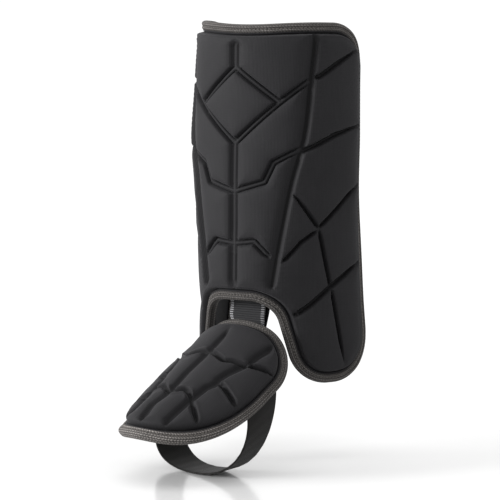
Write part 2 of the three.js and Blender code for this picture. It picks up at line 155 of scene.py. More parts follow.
class ShaderBoard:
    """The node tree of one material, whose nodes are added by their type."""

    def __init__(self, name: str) -> None:
        """Makes a material with a Principled shader.

        Args:
            name: The material's name.
        """
        self.material = bpy.data.materials.new(name)
        self.material.use_nodes = True
        self.tree = self.material.node_tree
        self.shader = self.tree.nodes["Principled BSDF"]

    def node(
        self,
        kind: str,
        settings: Mapping[str, object],
        sockets: Mapping[Union[int, str], SocketValue],
        output: Union[int, str] = 0,
    ) -> Signal:
        """Adds one node.

        Args:
            kind: The node's type.
            settings: Its properties, set before its sockets.
            sockets: Values or links of its inputs, by name or place.
            output: Which of its outputs is wanted.

        Returns:
            That output.
        """
        made = self.tree.nodes.new(kind)
        for key, setting in settings.items():
            setattr(made, key, setting)
        for key, value in sockets.items():
            self.feed(made.inputs[key], value)
        return Signal(self, made.outputs[output])

    def feed(self, socket: bpy.types.NodeSocket, value: SocketValue) -> None:
        """Links a signal to a socket, or sets the socket's own value.

        Args:
            socket: The input socket.
            value: A signal, a number, or a colour or vector.
        """
        if isinstance(value, Signal):
            self.tree.links.new(value.socket, socket)
        elif isinstance(value, (int, float)):
            socket.default_value = value
        else:
            size = len(socket.default_value)
            socket.default_value = (*value, 1.0)[:size]

    def layer(self, layer: Layer, output: str) -> Signal:
        """One of the mesh's own layers, as a Vector or a Fac."""
        return self.node("ShaderNodeAttribute", {"attribute_name": layer.value}, {}, output)

    def flat(self) -> tuple[Signal, Signal, Signal]:
        """The mesh's flat layer, followed by its X and its Y.

        Returns:
            The three signals.
        """
        flat = self.layer(Layer.FLAT, "Vector")
        first = self.node("ShaderNodeSeparateXYZ", {}, {0: flat})
        return flat, first, Signal(self, first.socket.node.outputs[1])

    def stretched(self, vector: Signal, scales: Colour) -> Signal:
        """A vector multiplied part by part."""
        return self.node("ShaderNodeVectorMath", {"operation": "MULTIPLY"}, {0: vector, 1: scales})

    def noise(self, vector: Signal, scale: float = 1.0, detail: float = 2.0) -> Signal:
        """Smooth noise from 0 to 1 over a vector."""
        return self.node("ShaderNodeTexNoise", {}, {"Vector": vector, "Scale": scale, "Detail": detail})

    def mixed(self, share: Operand, first: SocketValue, second: SocketValue) -> Signal:
        """A colour between two colours, by share."""
        settings = {"data_type": "RGBA", "clamp_factor": True}
        return self.node("ShaderNodeMix", settings, {0: share, 6: first, 7: second}, 2)

    def relief(self, height: Signal, depth: float, strength: float) -> Signal:
        """A normal from a height from 0 to 1, for a relief of that depth in metres."""
        return self.node("ShaderNodeBump", {}, {"Height": height, "Distance": depth, "Strength": strength})

    def dress(self, **sockets: SocketValue) -> bpy.types.Material:
        """Feeds the shader.

        Args:
            sockets: Values by socket name, with underscores for spaces.

        Returns:
            The finished material.
        """
        for name, value in sockets.items():
            self.feed(self.shader.inputs[name.replace("_", " ")], value)
        return self.material


class Finish(Protocol):
    """Anything that makes one material."""

    def material(self) -> bpy.types.Material:
        """The finish as a material."""
        ...


@dataclass(frozen=True)
class PadFabric:
    """Fine black knit, heat-pressed over the foam, with shade painted along its creases and in the valley by
    its rim.
    """

    name: str = "pad_knit"
    dark: Colour = (0.0095, 0.0093, 0.0102)
    light: Colour = (0.0195, 0.019, 0.0205)
    # Colour of the shade painted into the creases and the rim valley.
    pressed: Colour = (0.0015, 0.0015, 0.0017)
    wale: float = 0.0012
    course: float = 0.0015
    relief_depth: float = 0.0002
    streaks: Colour = (900.0, 45.0, 1.0)
    sheen: float = 0.07

    def material(self) -> bpy.types.Material:
        """The knit as a material."""
        board = ShaderBoard(self.name)
        flat, across, up = board.flat()
        # Painted shade mask: shade along the creases of the lines and in the valley by the rim.
        press = board.layer(Layer.PRESS, "Fac")
        columns = across.wave(self.wale)
        rows = up.wave(self.course, columns * 0.8)
        knit = columns * 0.3 + rows * 0.2 + 0.5
        streak = board.noise(board.stretched(flat, self.streaks))
        patch = board.noise(flat, scale=55.0, detail=3.0)
        tone = knit * 0.35 + streak * 0.45 + patch * 0.55 - 0.2
        fabric = board.mixed(tone, self.dark, self.light)
        return board.dress(
            Base_Color=board.mixed(press * 0.95, fabric, self.pressed),
            Roughness=patch.between(0.56, 0.72),
            Normal=board.relief(knit, self.relief_depth, strength=0.55),
            Sheen_Weight=self.sheen,
            Sheen_Roughness=0.45,
            Sheen_Tint=(0.75, 0.74, 0.78),
            Specular_IOR_Level=0.1,
        )


@dataclass(frozen=True)
class PadLining:
    """Plain dark open knit on the side towards the leg."""

    name: str = "pad_lining"
    dark: Colour = (0.005, 0.005, 0.0055)
    light: Colour = (0.011, 0.011, 0.012)
    cell: float = 0.0024
    relief_depth: float = 0.0004

    def material(self) -> bpy.types.Material:
        """The lining as a material."""
        board = ShaderBoard(self.name)
        flat, across, up = board.flat()
        mesh = (across + up).wave(self.cell) * (across - up).wave(self.cell) * 0.5 + 0.5
        patch = board.noise(flat, scale=40.0, detail=3.0)
        return board.dress(
            Base_Color=board.mixed(mesh * 0.6 + patch * 0.5 - 0.1, self.dark, self.light),
            Roughness=0.8,
            Normal=board.relief(mesh, self.relief_depth, strength=0.6),
            Sheen_Weight=0.03,
            Specular_IOR_Level=0.1,
        )


@dataclass(frozen=True)
class WovenTape:
    """Brown-grey ribbed tape: rows of pale dashes along its length, with shade painted at its folds, seam
    and inner edge.
    """

    name: str
    light: Colour
    fleck: Colour
    dark: Colour = (0.0165, 0.0155, 0.015)
    rib: float = 0.0021
    weft: float = 0.0026
    relief_depth: float = 0.00035
    jitters: Colour = (170.0, 480.0, 1.0)
    patches: Colour = (70.0, 220.0, 1.0)

    def material(self) -> bpy.types.Material:
        """The tape as a material."""
        board = ShaderBoard(self.name)
        flat, along, over = board.flat()
        # Painted shade mask, set by the binding: darker at the tape's folds, seam and inner edge, and near
        # the start of its outline.
        worn = board.layer(Layer.PRESS, "Fac")
        jitter = board.noise(board.stretched(flat, self.jitters))
        ribs = over.wave(self.rib)
        staggered = over.wave(2 * self.rib)
        wefts = along.wave(self.weft, staggered * 1.8 + jitter * 9.0)
        weave = ribs * 0.3 + wefts * 0.2 + 0.5
        patch = board.noise(board.stretched(flat, self.patches), detail=3.0)
        fleck = (ribs * 0.6 + wefts * 0.55 + jitter * 0.8 - 0.55) * patch * 1.5
        tape = board.mixed(weave * 0.8 + patch * 0.5 - 0.2, self.dark, self.light)
        dashed = board.mixed(fleck, tape, self.fleck)
        return board.dress(
            Base_Color=board.mixed(worn * 0.85, dashed, self.dark),
            Roughness=patch.between(0.62, 0.77),
            Normal=board.relief(weave, self.relief_depth, strength=0.8),
            Sheen_Weight=0.05,
            Sheen_Roughness=0.4,
            Sheen_Tint=(0.8, 0.76, 0.72),
            Specular_IOR_Level=0.12,
        )


@dataclass(frozen=True)
class SewingThread:
    """Twisted tan-grey sewing thread."""

    name: str = "sewing_thread"
    dark: Colour = (0.04, 0.035, 0.031)
    light: Colour = (0.13, 0.115, 0.102)
    twist: float = 0.0009

    def material(self) -> bpy.types.Material:
        """The thread as a material."""
        board = ShaderBoard(self.name)
        _, along, over = board.flat()
        ply = (along + over).wave(self.twist) * 0.5 + 0.5
        return board.dress(
            Base_Color=board.mixed(ply, self.dark, self.light),
            Roughness=0.6,
            Normal=board.relief(ply, depth=0.0001, strength=0.5),
            Sheen_Weight=0.2,
        )


@dataclass(frozen=True)
class RibbedWebbing:
    """Black ribbed webbing with a pale dashed band along each edge, the right one painted darker as shade.
    """

    half_width: float
    rib: float
    name: str = "ribbed_webbing"
    dark: Colour = (0.010, 0.010, 0.011)
    light: Colour = (0.03, 0.03, 0.032)
    pale: Colour = (0.27, 0.27, 0.28)
    band: tuple[float, float] = (0.79, 0.98)
    # How much darker the right edge band is painted, as shade on that side.
    worn: float = 0.5
    yarn: float = 0.0014

    def material(self) -> bpy.types.Material:
        """The webbing as a material."""
        board = ShaderBoard(self.name)
        _, across, along = board.flat()
        ribs = along.wave(self.rib)
        weave = ribs * 0.5 + across.wave(self.yarn) * 0.1 + 0.45
        reach = abs(across)
        inner, outer = (share * self.half_width for share in self.band)
        banded = reach.over(inner) * (1 - reach.over(outer))
        # The right band's dashes are dimmed by painted shade.
        dashes = banded * (ribs * 0.9 + 0.55) * (1 - across.over(0) * self.worn)
        cloth = board.mixed(weave, self.dark, self.light)
        return board.dress(
            Base_Color=board.mixed(dashes, cloth, self.pale),
            Roughness=0.62,
            Normal=board.relief(weave, depth=0.0003, strength=0.6),
            Sheen_Weight=0.05,
            Specular_IOR_Level=0.12,
        )


@dataclass(frozen=True)
class PlainWeave:
    """Black cloth in a plain weave, finer across than along, as elastic and backing tape are."""

    name: str
    dark: Colour
    light: Colour
    across_pitch: float
    along_pitch: float

    def material(self) -> bpy.types.Material:
        """The weave as a material."""
        board = ShaderBoard(self.name)
        flat, across, along = board.flat()
        warp = across.wave(self.across_pitch)
        weft = along.wave(self.along_pitch, warp * 0.9)
        weave = warp * 0.28 + weft * 0.22 + 0.5
        patch = board.noise(flat, scale=90.0, detail=3.0)
        return board.dress(
            Base_Color=board.mixed(weave * 0.55 + patch * 0.6 - 0.1, self.dark, self.light),
            Roughness=patch.between(0.61, 0.75),
            Normal=board.relief(weave, depth=0.00025, strength=0.6),
            Sheen_Weight=0.05,
            Sheen_Roughness=0.5,
            Specular_IOR_Level=0.12,
        )


@dataclass(frozen=True)
class FloorPaint:
    """White studio floor with a slight polish."""

    name: str = "studio_white"
    colour: Colour = (0.72, 0.72, 0.72)

    def material(self) -> bpy.types.Material:
        """The paint as a material."""
        return ShaderBoard(self.name).dress(Base_Color=self.colour, Roughness=0.16, Specular_IOR_Level=0.45)


# Flat patterns and the shapes that they are carried to


class SmoothColumn:
    """A smooth curve through the rows of a table, level beyond the first and last of them."""

    def __init__(self, keys: Sequence[float], values: Sequence[float]) -> None:
        """Works out the slope at each row.

        Args:
            keys: Where the rows are, in rising order.
            values: What the column holds there.
        """
        self.keys = np.asarray(keys, float)
        self.values = np.asarray(values, float)
        before = np.maximum(np.arange(len(keys)) - 1, 0)
        after = np.minimum(np.arange(len(keys)) + 1, len(keys) - 1)
        rise = self.values[after] - self.values[before]
        self.slopes = rise / (self.keys[after] - self.keys[before])

    def __call__(self, where: Array) -> Array:
        """The column's values.

        Args:
            where: Places to read it at.

        Returns:
            One value for each place.
        """
        at = np.clip(where, self.keys[0], self.keys[-1])
        i = np.clip(np.searchsorted(self.keys, at, side="right") - 1, 0, len(self.keys) - 2)
        span = self.keys[i + 1] - self.keys[i]
        k = (at - self.keys[i]) / span
        rise = self.values[i + 1] - self.values[i]
        bend_in = k * (1 - k) ** 2 * (self.slopes[i] * span - rise)
        bend_out = k**2 * (1 - k) * (rise - self.slopes[i + 1] * span)
        return self.values[i] + rise * k + bend_in + bend_out


def smoothstep(share: Array) -> Array:
    """Zero below 0, one above 1, and smooth between."""
    k = np.clip(share, 0, 1)
    return k * k * (3 - 2 * k)


def unit(vectors: Array) -> Array:
    """Vectors of length one."""
    return vectors / np.linalg.norm(vectors, axis=-1, keepdims=True)


def distances(points: Array) -> Array:
    """How far along its path each point is."""
    runs = np.linalg.norm(np.diff(points, axis=0), axis=1)
    return np.concatenate([[0], np.cumsum(runs)])


class WrapRow(NamedTuple):
    """How the shin pad is bent at one height: slopes in degrees, arc lengths in millimetres."""

    z: float
    front_slope: float
    flap_end: float
    end_slope: float
    curl: float


class ShinSurface:
    """The worn shape of the shin pad: four arcs a side, from the centre line to the flap's edge."""

    panel_heights = (-95, -60, -25, 20, 60, 110, 165)
    panel_halves = (31, 36.5, 42.5, 51, 61, 65, 69.5)
    wrap = (
        WrapRow(-120, 19.5, 135, 88, 8),
        WrapRow(20, 29, 126, 91, 18),
        WrapRow(165, 51, 131.5, 94.5, 26),
    )
    flap_fold = 17.0
    fold_half = 7.0
    curl_run = 24.0
    lean = 0.015

    def __init__(self) -> None:
        """Makes the columns of its tables."""
        heights, *bends = zip(*self.wrap)
        columns = (SmoothColumn(heights, bend) for bend in bends)
        self.front_half = SmoothColumn(self.panel_heights, self.panel_halves)
        self.front_slope, self.flap_end, self.end_slope, self.curl = columns

    def place(self, flat: Array) -> Array:
        """Carries flat points on to the worn shape.

        Args:
            flat: Rows of arc length from the centre line, height, and height above the inner face.

        Returns:
            Points in metres.
        """
        s, z, t = flat.T
        half = self.front_half(z)
        at_fold = np.radians(self.front_slope(z))
        past_fold = at_fold + math.radians(self.flap_fold)
        flap_bend = (np.radians(self.end_slope(z)) - past_fold) / (self.flap_end(z) - half)
        front_bend = at_fold / half
        fold_start, fold_end = half - self.fold_half, half + self.fold_half
        curl_start = self.flap_end(z) - self.curl_run
        slope_in = front_bend * fold_start
        slope_out = past_fold + flap_bend * self.fold_half
        fold_bend = (slope_out - slope_in) / (2 * self.fold_half)
        curl_slope = past_fold + flap_bend * (curl_start - half)
        curl_bend = flap_bend + np.radians(self.curl(z)) / self.curl_run
        level = np.zeros_like(z)
        arcs = (
            (level, fold_start, level, front_bend),
            (fold_start, fold_end, slope_in, fold_bend),
            (fold_end, curl_start, slope_out, flap_bend),
            (curl_start, level + np.inf, curl_slope, curl_bend),
        )
        reach = np.abs(s)
        x, y, slope = np.zeros_like(z), self.lean * z, np.zeros_like(z)
        for start, until, first_slope, bend in arcs:
            run = np.clip(np.minimum(reach, until) - start, 0, None)
            last_slope = first_slope + bend * run
            x = x + (np.sin(last_slope) - np.sin(first_slope)) / bend
            y = y + (np.cos(first_slope) - np.cos(last_slope)) / bend
            slope = np.where(run > 0, last_slope, slope)
        side = np.where(s < 0, -1, 1)
        return MM * np.stack([side * (x + t * np.sin(slope)), y - t * np.cos(slope), z], axis=1)


class FootSurface:
    """The worn shape of the foot pad: a sloping centre line, arched across."""

    start = np.array([4, -6.5, -118])
    heading = math.radians(8)
    ankle_slope = math.radians(36)
    toe_slope = math.radians(28)
    length = 155.0
    arch_places = (0, 60, 110, 155)
    arch_radii = (65, 77, 67, 45)

    def __init__(self) -> None:
        """Works out its directions."""
        self.ahead = np.array([-math.sin(self.heading), -math.cos(self.heading), 0])
        self.right = np.array([math.cos(self.heading), -math.sin(self.heading), 0])
        self.up = np.array([0, 0, 1])
        self.radius = SmoothColumn(self.arch_places, self.arch_radii)

    def place(self, flat: Array) -> Array:
        """Carries flat points on to the worn shape.

        Args:
            flat: Rows of distance to the right, distance back from the ankle and height above the lining.

        Returns:
            Points in metres.
        """
        v, back, t = flat.T
        u = -back
        bend = (self.toe_slope - self.ankle_slope) / self.length
        slope = self.ankle_slope + bend * u
        run = (np.sin(slope) - math.sin(self.ankle_slope)) / bend
        drop = (math.cos(self.ankle_slope) - np.cos(slope)) / bend
        radius = self.radius(u)
        turn = v / radius
        out = np.outer(np.sin(slope), self.ahead) + np.outer(np.cos(slope), self.up)
        lifted = (radius + t) * np.cos(turn) - radius
        middle = self.start + np.outer(run, self.ahead) - np.outer(drop, self.up)
        return MM * (middle + np.outer((radius + t) * np.sin(turn), self.right) + out * lifted[:, None])


Surface = Union[ShinSurface, FootSurface]


class Outline:
    """A closed flat outline, run anticlockwise."""

    fine_step = 1.0

    def __init__(self, corners: Array) -> None:
        """Spaces the outline's points evenly.

        Args:
            corners: Flat points that follow it closely, without the first again at the end.
        """
        self.closed = np.vstack([corners, corners[:1]])
        self.lengths = distances(self.closed)
        self.length = float(self.lengths[-1])
        self.fine = self.ring(round(self.length / self.fine_step), 0)

    def at(self, along: Array, inset: Array) -> Array:
        """Flat points inside the outline.

        Args:
            along: Distances along it.
            inset: Distances inside it.

        Returns:
            One flat point for each.
        """
        step = 0.5
        before, here, after = (self._on(along + shift) for shift in (-step, 0, step))
        run = unit(after - before)
        inward = np.stack([-run[:, 1], run[:, 0]], axis=1)
        return here + inward * np.asarray(inset)[..., None]

    def _on(self, along: Array) -> Array:
        """Flat points on the outline itself."""
        where = np.mod(along, self.length)
        return np.stack([np.interp(where, self.lengths, column) for column in self.closed.T], axis=1)

    def ring(self, count: int, inset: Union[float, Array]) -> Array:
        """Evenly spaced points all round, at a distance inside."""
        along = np.arange(count) * self.length / count
        return self.at(along, np.broadcast_to(inset, (count,)))

    def nearest(self, points: Array) -> tuple[Array, Array]:
        """Where flat points lie by the outline.

        Args:
            points: Flat points.

        Returns:
            How far inside it they are, and at what share of the way round.
        """
        ends = np.roll(self.fine, -1, axis=0)
        apart, segment, share = nearest_on(points, self.fine, ends)
        return apart, (segment + share) / len(self.fine)


@dataclass(frozen=True)
class TapeWidth:
    """How wide a folded tape shows: where the outline starts, and half the way round it."""

    start: float
    far: float

    def at(self, share: Array) -> Array:
        """The width at shares of the way round."""
        return self.start + (self.far - self.start) * far_share(share)


def far_share(share: Array) -> Array:
    """How near shares of the way round an outline are to half the way: one there, zero at the start."""
    narrowing = 3
    return (0.5 - 0.5 * np.cos(TURN * share)) ** narrowing


def nearest_on(points: Array, starts: Array, ends: Array) -> tuple[Array, Array, Array]:
    """Finds the nearest of many segments.

    Args:
        points: Flat points.
        starts: Where the segments start.
        ends: Where they end.

    Returns:
        For each point its distance, the nearest segment and the share of the way along it.
    """
    chunk, least = 4000, 1e-12
    runs = ends - starts
    found = []
    for first in range(0, len(points), chunk):
        gap = points[first : first + chunk, None] - starts
        share = np.clip((gap * runs).sum(2) / ((runs**2).sum(1) + least), 0, 1)
        apart = np.sqrt(((gap - share[..., None] * runs) ** 2).sum(2))
        best = apart.argmin(1)
        rows = np.arange(len(best))
        found.append((apart[rows, best], best, share[rows, best]))
    return tuple(np.concatenate(column) for column in zip(*found))


def rounded_corner(before: Array, corner: Array, after: Array, radius: float) -> Array:
    """The arc that rounds one corner.

    Args:
        before: The corner before.
        corner: The corner.
        after: The corner after.
        radius: The arc's radius.

    Returns:
        Flat points on the arc, in order.
    """
    steps = 24
    back, on = unit(before - corner), unit(after - corner)
    half = math.acos(float(back @ on)) / 2
    centre = corner + unit(back + on) * radius / math.sin(half)
    first = corner + back * radius / math.tan(half) - centre
    sweep = (math.pi - 2 * half) * math.copysign(1, on[0] * back[1] - on[1] * back[0])
    angles = math.atan2(first[1], first[0]) + np.linspace(0, sweep, steps)
    return centre + radius * np.stack([np.cos(angles), np.sin(angles)], axis=1)


class Corner(NamedTuple):
    """A corner of a flat outline and the radius that rounds it."""

    s: float
    z: float
    radius: float


def shin_outline() -> Outline:
    """The shin pad's outline: an arch at the ankle, two flaps and a slightly dipped top.

    Returns:
        The outline, from the middle of the arch.
    """
    right = (
        Corner(33.8, -91, 27),
        Corner(57.5, -167.5, 38),
        Corner(134.5, -167.5, 41),
        Corner(126, 20, 900),
        Corner(131.5, 165.5, 40),
    )
    left_rise = 6
    left = [Corner(-row.s, row.z, row.radius) for row in reversed(right)]
    left[0] = left[0]._replace(z=left[0].z + left_rise)
    top = (Corner(8, 161, 315), Corner(-74, 171.3, 200))
    rows = [*right, *top, *left]
    points = [np.array([row.s, row.z]) for row in rows]
    arcs = [
        rounded_corner(points[i - 1], points[i], points[(i + 1) % len(rows)], row.radius)
        for i, row in enumerate(rows)
    ]
    return Outline(np.vstack([[[0, right[0].z]], *arcs]))


def foot_outline() -> Outline:
    """The foot pad's outline: round corners at the ankle and half an ellipse at the toe.

    Returns:
        The outline, from the middle of the ankle edge.
    """
    ankle, toe, broad, half, radius = -9, 155.5, 57, 71, 48
    corner_points, toe_points = 40, 120
    quarter = np.linspace(0, math.pi / 2, corner_points)
    corner = radius * np.stack([np.cos(quarter), np.sin(quarter)], axis=1)
    sweep = np.linspace(math.pi, TURN, toe_points)
    rows = [
        [[0, -ankle]],
        np.array([radius - half, -ankle - radius]) + corner[::-1] * (-1, 1),
        np.stack([half * np.cos(sweep), -broad + (toe - broad) * np.sin(sweep)], axis=1),
        np.array([half - radius, -ankle - radius]) + corner,
    ]
    return Outline(np.vstack(rows))


@dataclass(frozen=True)
class GroovePress:
    """The tool that sinks a line: its widths and depth, what it raises along its floor and lips, and the
    shade painted along it.
    """

    floor_half: float
    lip_half: float
    depth: float
    bead: float = 0.0
    # shade and crease: how dark and how wide the shade painted along the line's creases is.
    shade: float = 1.0
    crease: float = 0.6
    far_lip: float = 0.0
    ridge: float = 0.0
    ridge_run: float = 1.3
    pucker: float = 0.0
    pucker_pitch: float = 4.6
    pucker_reach: float = 2.6
    pucker_least: float = 0.6
    pucker_swells: tuple[float, float] = (17.0, 29.0)
    station: float = 2.0
    faded_width: float = 0.3
    faded_depth: float = 0.15
    fade_rate: float = 1.7

    def lane_reach(self) -> float:
        """How far the nearer of its lips is from the line."""
        return min(self.lip_half, self.far_lip or self.lip_half)

    def puckers(self, apart: Array, along: Array) -> Array:
        """How far small gathers lift the knit beside the line.

        Args:
            apart: Distances from the lip, outwards.
            along: Distances along the line.

        Returns:
            Heights, of either sign.
        """
        near = np.exp(-((apart / self.pucker_reach - 1) ** 2))
        swells = [np.sin(along / swell) for swell in self.pucker_swells]
        uneven = self.pucker_least + (1 - self.pucker_least) * np.prod(swells, axis=0)
        return self.pucker * near * uneven * np.sin(along * TURN / self.pucker_pitch)

    def ridges(self, apart: Array) -> Array:
        """How far the lips are raised, by distance from the lip."""
        return self.ridge * np.exp(-((apart / self.ridge_run) ** 2))


class Press(Enum):
    """The tools of the mould."""

    CHANNEL = GroovePress(2.1, 4.0, depth=4.3, bead=1.9, shade=0.7, crease=0.8)
    SPINE = GroovePress(1.9, 6.2, depth=4.0, bead=1.3, shade=0.5, crease=0.8)
    GASH = GroovePress(1.1, 3.2, depth=4.8, bead=0.3, crease=1.1)
    FOLD = GroovePress(
        floor_half=0.5,
        lip_half=8.0,
        depth=4.2,
        shade=0.95,
        crease=1.0,
        far_lip=3.8,
        ridge=0.45,
        ridge_run=1.8,
        pucker=0.3,
        station=1.15,
    )
    VEE = GroovePress(0.5, 2.6, depth=4.8, crease=1.0)
    SOFT = GroovePress(0.8, 5.0, depth=3.6, shade=0.55, crease=1.7)
    RIDGED = GroovePress(0.5, 3.6, depth=4.4, shade=0.95, crease=1.1, ridge=0.9, ridge_run=1.6)


@dataclass(frozen=True)
class Groove:
    """A pressed line of a flat pattern, and over what length each of its two ends runs out to a point."""

    path: FlatPath
    press: Press = Press.CHANNEL
    fades: tuple[float, float] = (0, 0)

    def mirrored(self) -> "Groove":
        """The same line on the left."""
        return replace(self, path=tuple((-x, y) for x, y in self.path))

    def spread(self) -> "Groove":
        """One line out of the right half, which starts on the centre line, and its mirror image."""
        left = tuple((-x, y) for x, y in reversed(self.path[1:]))
        return replace(self, path=(*left, *self.path), fades=(self.fades[1], self.fades[1]))


class Pressing(NamedTuple):
    """What the tools do at each of many flat points."""

    depth: Array
    # How much shade is painted into the knit at each point.
    shade: Array
    reach: Array
    lift: Array


class Trace(NamedTuple):
    """One line as many flat points see it: how far off, which side, and how full the press is there."""

    tool: GroovePress
    apart: Array
    along: Array
    beyond: Array
    width: Array
    held: Array

    def floor(self) -> Array:
        """Half the width of the floor at each point."""
        return self.tool.floor_half * self.width

    def lip(self) -> Array:
        """How far the lip is from the line at each point."""
        far = self.beyond & (self.tool.far_lip > 0)
        return np.where(far, self.tool.far_lip, self.tool.lip_half) * self.width

    def floor_share(self) -> Array:
        """One on the line, falling to zero at the edge of its floor."""
        return np.clip(1 - (self.apart / self.floor()) ** 2, 0, 1)


@dataclass(frozen=True)
class GrooveNet:
    """All the pressed lines of one pad."""

    grooves: Sequence[Groove]
    floor_sharpness: float = 1.5
    ridge_sink: float = 2.0

    def trace(self, groove: Groove, points: Array) -> Trace:
        """How one line lies to points.

        Args:
            groove: The line.
            points: Flat points.

        Returns:
            The line as the points see it.
        """
        tool = groove.press.value
        path = np.array(groove.path, float)
        from_start = distances(path)
        apart, segment, share = nearest_on(points, path[:-1], path[1:])
        along = from_start[segment] + share * np.diff(from_start)[segment]
        full = np.ones(len(points))
        for run, end in zip(groove.fades, (along, from_start[-1] - along)):
            if run:
                full = np.minimum(full, end / run)
        width = tool.faded_width + (1 - tool.faded_width) * full
        held = tool.faded_depth + (1 - tool.faded_depth) * smoothstep(tool.fade_rate * full)
        line_x = path[segment, 0] + share * np.diff(path[:, 0])[segment]
        beyond = np.abs(points[:, 0]) > np.abs(line_x)
        return Trace(tool, apart, along, beyond, width, held)

    def sample(self, points: Array) -> Pressing:
        """How far points are pressed in, with the floors of lines that meet run together.

        Args:
            points: Flat points.

        Returns:
            The depth of the press, how much shade is painted along its creases, the distance from the
            nearest lip, and how far puckers and raised lips lift the knit.
        """
        traces = [self.trace(groove, points) for groove in self.grooves]
        joined = np.max([trace.floor_share() for trace in traces], axis=0)
        depth, shade, puckers, ridges = np.zeros((4, len(points)))
        reach = np.full(len(points), np.inf)
        for trace in traces:
            tool, floor, lip = trace.tool, trace.floor(), trace.lip()
            wall = smoothstep((trace.apart - floor) / (lip - floor))
            bead = tool.bead * trace.width**2 * joined
            depth = np.maximum(depth, trace.held * (tool.depth - bead) * (1 - wall))
            # Painted shade along each crease, where shade falls, but not where another line's floor runs
            # through.
            crease = np.exp(-(((trace.apart - floor) / (tool.crease * trace.width)) ** 2))
            bare = 1 - np.clip(self.floor_sharpness * (joined - trace.floor_share()), 0, 1)
            shade = np.maximum(shade, tool.shade * trace.held * crease * bare)
            reach = np.minimum(reach, trace.apart - lip)
            puckers = puckers + tool.puckers(trace.apart - lip, trace.along)
            raised = trace.beyond | (tool.far_lip == 0)
            ridges = np.maximum(ridges, trace.held * raised * tool.ridges(trace.apart - lip))
        lift = puckers + ridges * np.clip(1 - depth / self.ridge_sink, 0, 1)
        return Pressing(depth, shade, np.maximum(reach, 0), lift)

    def lines(self, shares: Sequence[float]) -> Array:
        """Points along every line and beside it.

        Args:
            shares: Their distances from the line, as shares of the distance of its lip.

        Returns:
            Flat points.
        """
        found = []
        for groove in self.grooves:
            tool = groove.press.value
            path = np.array(groove.path, float)
            for start, run in zip(path, np.diff(path, axis=0)):
                count = max(2, round(float(np.hypot(*run)) / tool.station))
                places = start + np.outer(np.arange(count + 1) / count, run)
                side = unit(np.array([-run[1], run[0]])) * tool.lane_reach()
                found += [places + side * share for share in shares]
        return np.vstack(found)


def mirrored_grooves(
    centre: Sequence[Groove], sides: Sequence[Groove], single: Sequence[Groove]
) -> list[Groove]:
    """A pad's lines: centre halves spread out, sides with their mirror images, and lines laid out once."""
    left = [groove.mirrored() for groove in sides]
    return [*(groove.spread() for groove in centre), *sides, *left, *single]


def shin_grooves(surface: ShinSurface) -> list[Groove]:
    """The shin pad's lines: diamond, chevron and trapezoid in front, rays on the flaps, and the folds.

    Args:
        surface: The worn shape, which has the folds.

    Returns:
        The lines.
    """
    centre = (
        Groove(((0, 123), (40.2, 91.2))),
        Groove(((0, 54), (41, 90.5), (63, 109))),
        Groove(((0, 10), (28.5, 18.5), (36.5, 36), (58, 48))),
        Groove(((0, -38), (19.5, -35.5), (35.5, -52)), fades=(0, 8)),
    )
    sides = (
        Groove(((70, 113.5), (88, 125.5), (114, 141)), Press.GASH, (0, 26)),
        Groove(((60, 47), (87.5, 61.5), (118, 72)), Press.GASH, (0, 30)),
        Groove(((50, 9.5), (73, -23.5)), Press.VEE, (16, 5)),
        Groove(((73, -23.5), (113, 16)), Press.VEE, (5, 14)),
        Groove(((72, -25.2), (57.5, -36), (41.5, -54.5)), Press.VEE, (6, 5)),
        Groove(((73.4, -24.6), (84.9, -76.9)), Press.VEE, (7, 0)),
        Groove(((118, -54.5), (85.5, -77.5), (67, -93), (50.5, -104.5)), Press.GASH, (22, 6)),
        Groove(((86.1, -80.2), (100, -150)), Press.VEE, (7, 22)),
    )
    spine = (
        Groove(((0, 147.5), (0, 123)), Press.SPINE, (4, 0)),
        Groove(((0, 54), (0, -81)), Press.SPINE, (0, 8)),
    )
    fold_foot, fold_top, fold_points = -81, 157, 25
    heights = np.linspace(fold_foot, fold_top, fold_points)
    fold = tuple(zip(surface.front_half(heights).tolist(), heights.tolist()))
    return mirrored_grooves(centre, (*sides, Groove(fold, Press.FOLD, (8, 10))), spine)


def foot_grooves() -> list[Groove]:
    """The foot pad's lines: a wing over the instep, rails to the toe chevron, and rays to the rim.

    Returns:
        The lines, with the toe down the pattern.
    """
    centre = (
        Groove(((0, -100.5), (6.5, -97), (12.5, -93), (19, -96.5), (23.5, -101.5)), Press.RIDGED),
    )
    sides = (
        Groove(((38.8, -42), (40.5, -28), (43, -17.5), (43.5, -8)), Press.SOFT, (9, 8)),
        Groove(((39.5, -42.5), (43.5, -40), (55.5, -34.5), (63, -35)), Press.RIDGED, (4, 10)),
        Groove(((37.5, -44.8), (31.5, -59.5), (29, -69), (30, -74.5), (26, -82), (23.7, -99.5)), Press.SOFT),
        Groove(((30.5, -73.5), (34, -72.3), (41.5, -75.8), (48.5, -79.5), (57, -84)), Press.RIDGED, (3, 8)),
        Groove(((22.9, -103), (21, -131), (22.5, -139)), Press.SOFT, (0, 9)),
        Groove(((24.2, -102), (32.8, -110.5), (42, -119)), Press.RIDGED, (0, 9)),
    )
    single = (
        Groove(((0, -41.5), (5.5, -42.5), (20, -48), (27.5, -45), (38.5, -43)), Press.RIDGED),
        Groove(((0, -41.5), (-5.5, -42.5), (-20, -48), (-30, -44)), Press.RIDGED, (0, 19)),
        Groove(((0, -8), (0, -41)), Press.SOFT, (16, 0)),
        Groove(((0, -42), (-2, -73), (0, -100)), Press.SOFT),
        Groove(((0, -101), (-4, -119), (2, -144)), Press.SOFT, (0, 10)),
    )
    return mirrored_grooves(centre, sides, single)


# Meshes


class MeshParts(NamedTuple):
    """A mesh as arrays: points in metres, faces, layers by point and a material number for each face."""

    points: Array
    faces: list[tuple[int, ...]]
    flat: Array
    # How much shade is painted into each point's colour.
    press: Array
    finishes: Array


